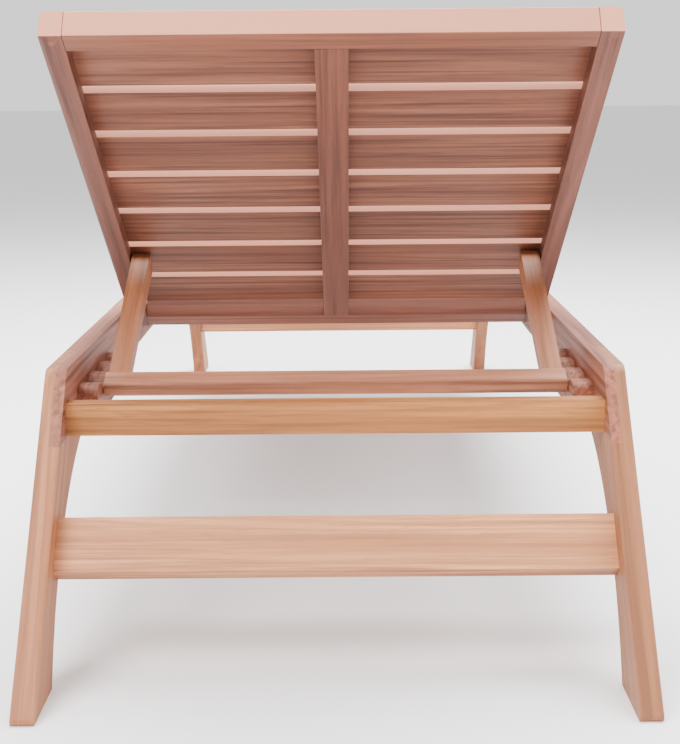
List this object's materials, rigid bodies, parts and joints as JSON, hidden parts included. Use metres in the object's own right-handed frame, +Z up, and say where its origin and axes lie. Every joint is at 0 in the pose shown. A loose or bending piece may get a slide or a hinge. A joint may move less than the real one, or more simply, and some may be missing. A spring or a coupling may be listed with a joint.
{
  "type": "reclining sun lounger",
  "caption": "Slatted teak sun lounger with splayed legs, a hinged backrest and a prop that drops into toothed racks.",
  "frame": {"origin": "centre of the bounding box in X and Y, on the floor", "axes": "+Z up, +Y towards the foot end, -Y towards the head end with the raised backrest, +X across the width"},
  "size_m": [0.68, 2, 0.7324],
  "materials": {
    "wood": "sanded teak, bare",
    "steel": "brushed stainless steel",
    "brass": "plain"
  },
  "bodies": {
    "frame": {"side_rail_left": "wood", "side_rail_right": "wood", "leg_head_left": "wood", "leg_head_right": "wood", "leg_foot_left": "wood", "leg_foot_right": "wood", "apron_head": "wood", "apron_foot": "wood", "stretcher_head": "wood", "stretcher_foot": "wood", "rack_left": "wood", "rack_right": "wood", "ledger_left": "wood", "ledger_right": "wood", "seat_crossrail_hinge": "wood", "seat_crossrail_foot": "wood", "seat_rib": "wood", "seat_slat_1": "wood", "seat_slat_2": "wood", "seat_slat_3": "wood", "seat_slat_4": "wood", "seat_slat_5": "wood", "seat_slat_6": "wood", "seat_slat_7": "wood", "seat_slat_8": "wood", "seat_slat_9": "wood", "seat_slat_10": "wood", "knee_dowels": "wood", "apron_dowels": "wood", "stretcher_dowels": "wood", "seat_screws": "steel", "ledger_screws": "steel", "rack_screws": "steel", "hinge_washers": "steel"},
    "backrest": {"stile_left": "wood", "stile_right": "wood", "back_top_rail": "wood", "back_bottom_rail": "wood", "back_rib": "wood", "back_slat_1": "wood", "back_slat_2": "wood", "back_slat_3": "wood", "back_slat_4": "wood", "back_slat_5": "wood", "back_slat_6": "wood", "back_slat_7": "wood", "corner_pins": "wood", "back_screws": "steel", "hinge_inserts": "brass", "hinge_bolts": "steel", "hinge_spacers": "steel"},
    "prop_pivots": {"pivot_bolts": "steel", "pivot_washers": "steel", "pivot_nuts": "steel"},
    "prop": {"prop_arm_left": "wood", "prop_arm_right": "wood", "prop_crossbar": "wood", "prop_dowels": "wood", "prop_pegs": "wood", "pivot_plugs": "wood"}
  },
  "joints": [
    {"name": "backrest_hinge", "type": "hinge", "parent": "frame", "child": "backrest", "pos_m": [0, -0.22252, 0.312], "axis": [-1, 0, 0], "range_deg": [0, 38]},
    {"name": "prop_hang", "type": "hinge", "parent": "backrest", "child": "prop_pivots", "pos_m": [0, -0.38893, 0.4158], "axis": [-1, 0, 0], "range_deg": [-38, 0]},
    {"name": "prop_fold", "type": "hinge", "parent": "prop_pivots", "child": "prop", "pos_m": [0, -0.38893, 0.4158], "axis": [-1, 0, 0], "range_deg": [0, 56]}
  ],
  "couplings": [
    {"joint": "prop_hang", "follows": "backrest_hinge", "ratio": -1}
  ]
}
